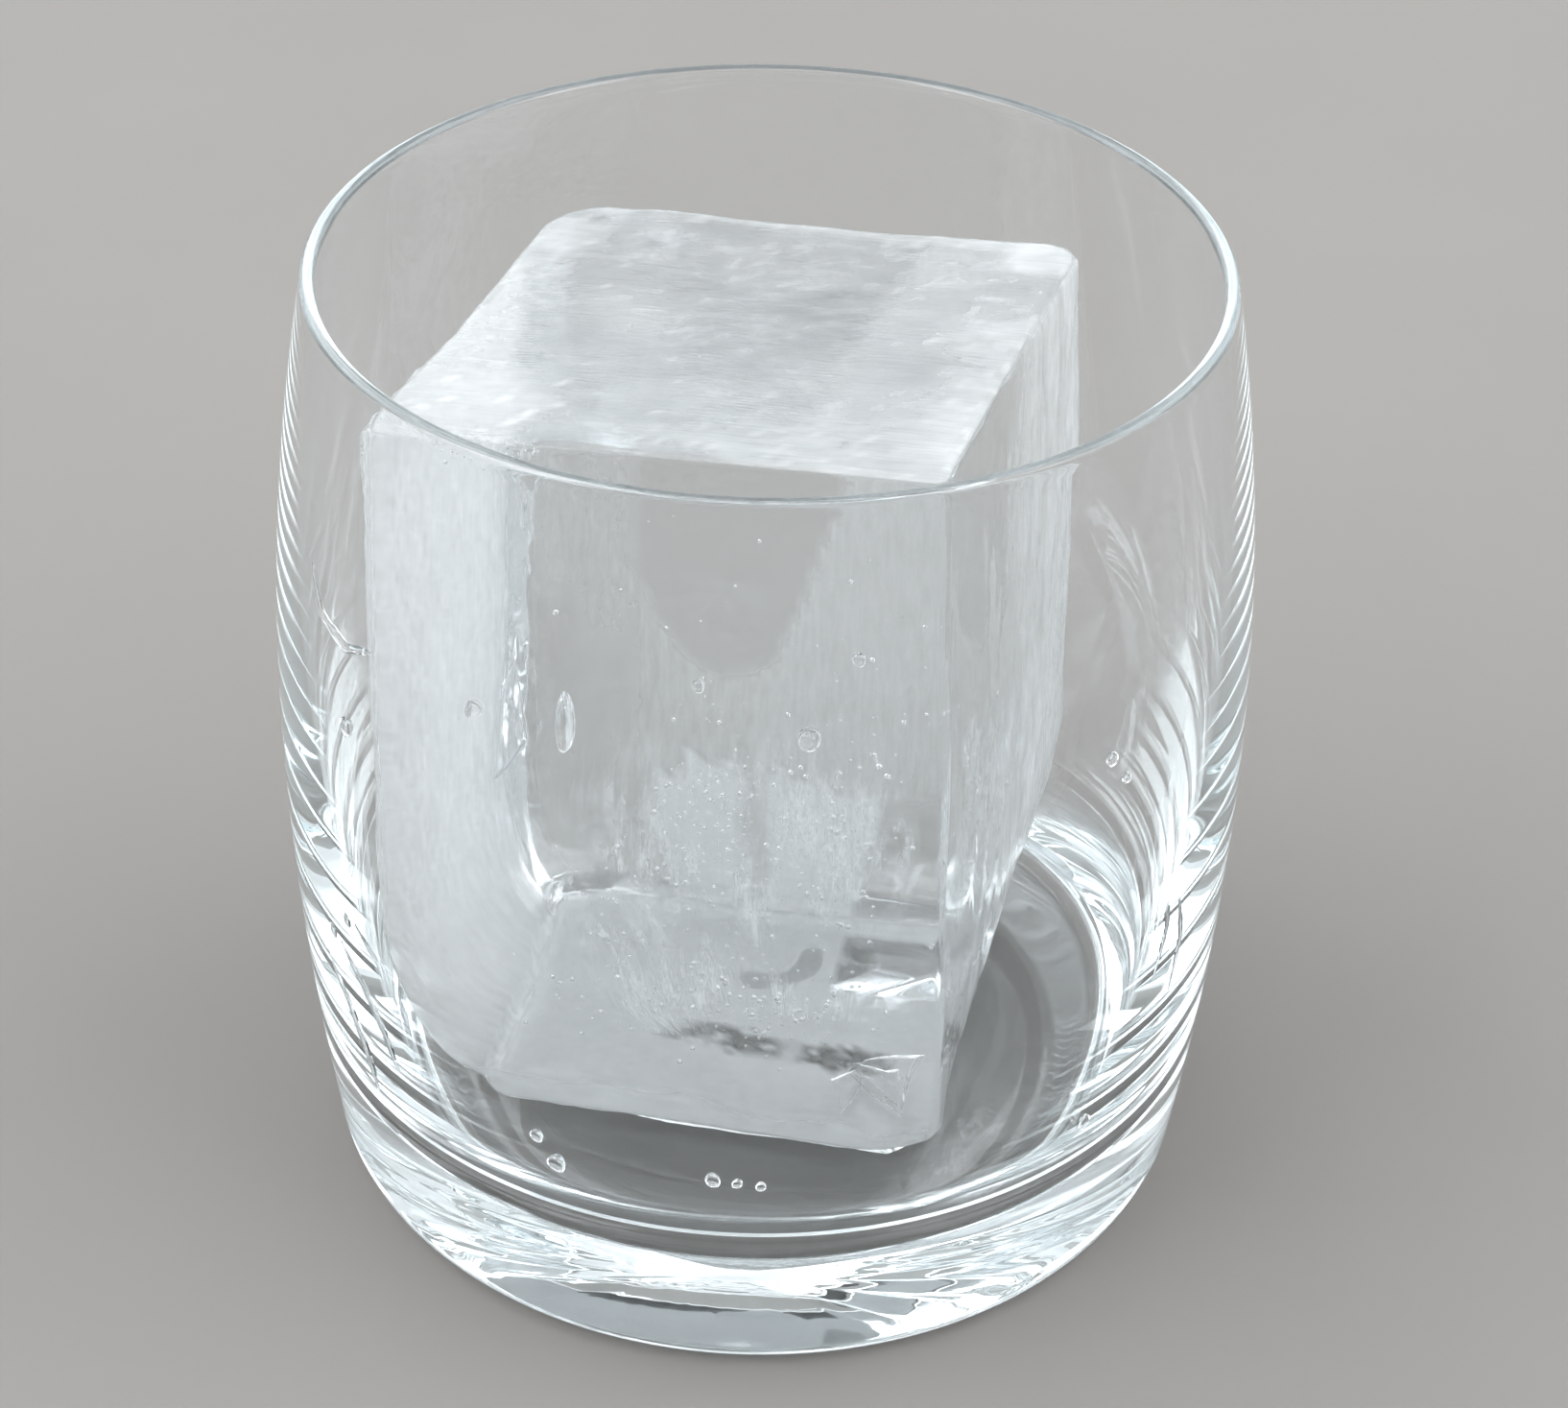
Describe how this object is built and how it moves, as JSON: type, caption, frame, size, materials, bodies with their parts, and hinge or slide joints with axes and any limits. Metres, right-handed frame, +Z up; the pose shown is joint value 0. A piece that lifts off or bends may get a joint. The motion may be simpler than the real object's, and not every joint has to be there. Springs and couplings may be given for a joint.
{
  "type": "whiskey tumbler",
  "caption": "Barrel-shaped whiskey tumbler with a thick base and a rounded thin lip, holding a single tall block of clear ice that lifts out.",
  "frame": {"origin": "on the table, at the centre of the glass's foot", "axes": "+Z up along the axis of the glass; -Y is the front, towards the block's plain face; +X to the right"},
  "size_m": [0.0873, 0.0872, 0.0892],
  "materials": {
    "glass": "polished",
    "ice": "satin",
    "water": "polished"
  },
  "bodies": {
    "glass": {"tumbler": "glass", "melt_film": "water", "wall_drops": "water"},
    "ice": {"ice_block": "ice", "ice_drops": "water"}
  },
  "joints": [
    {"name": "ice_lift", "type": "slide", "parent": "glass", "child": "ice", "axis": [0, 0, 1], "range_m": [0, 0.085]}
  ]
}
